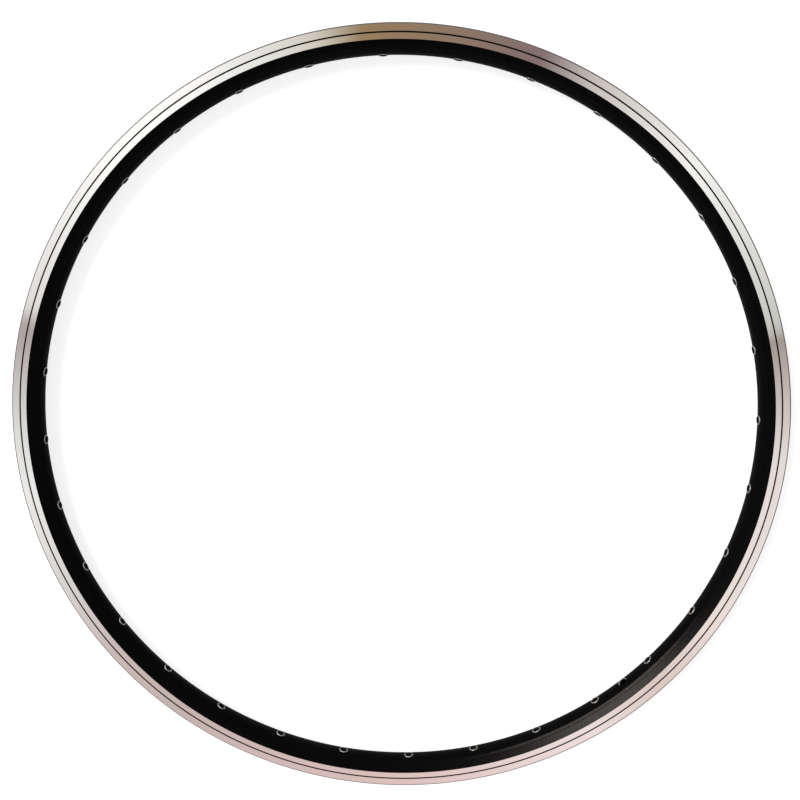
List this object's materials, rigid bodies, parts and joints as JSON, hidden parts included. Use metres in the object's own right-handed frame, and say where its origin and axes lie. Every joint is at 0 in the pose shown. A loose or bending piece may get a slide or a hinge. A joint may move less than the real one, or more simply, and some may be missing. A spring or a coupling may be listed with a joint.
{
  "type": "bicycle rim",
  "caption": "Hollow double-wall bicycle rim hoop with hooked tyre channel, machined braking tracks with a wear groove, drilled spoke bed with pressed eyelets and a valve hole.",
  "frame": {"origin": "centre of the rim, on its axle line and its mid-plane", "axes": "+Z along the axle line, up from a rim that lies flat on one side; -Y through the valve hole"},
  "size_m": [0.5715, 0.5714, 0.0244],
  "materials": {
    "black_anodised": "black anodised aluminium, satin, with both braking tracks cut bright",
    "eyelet_metal": "nickel-plated pressed metal"
  },
  "bodies": {
    "root": {"rim_hoop": "black_anodised", "spoke_eyelets": "eyelet_metal"}
  },
  "joints": []
}
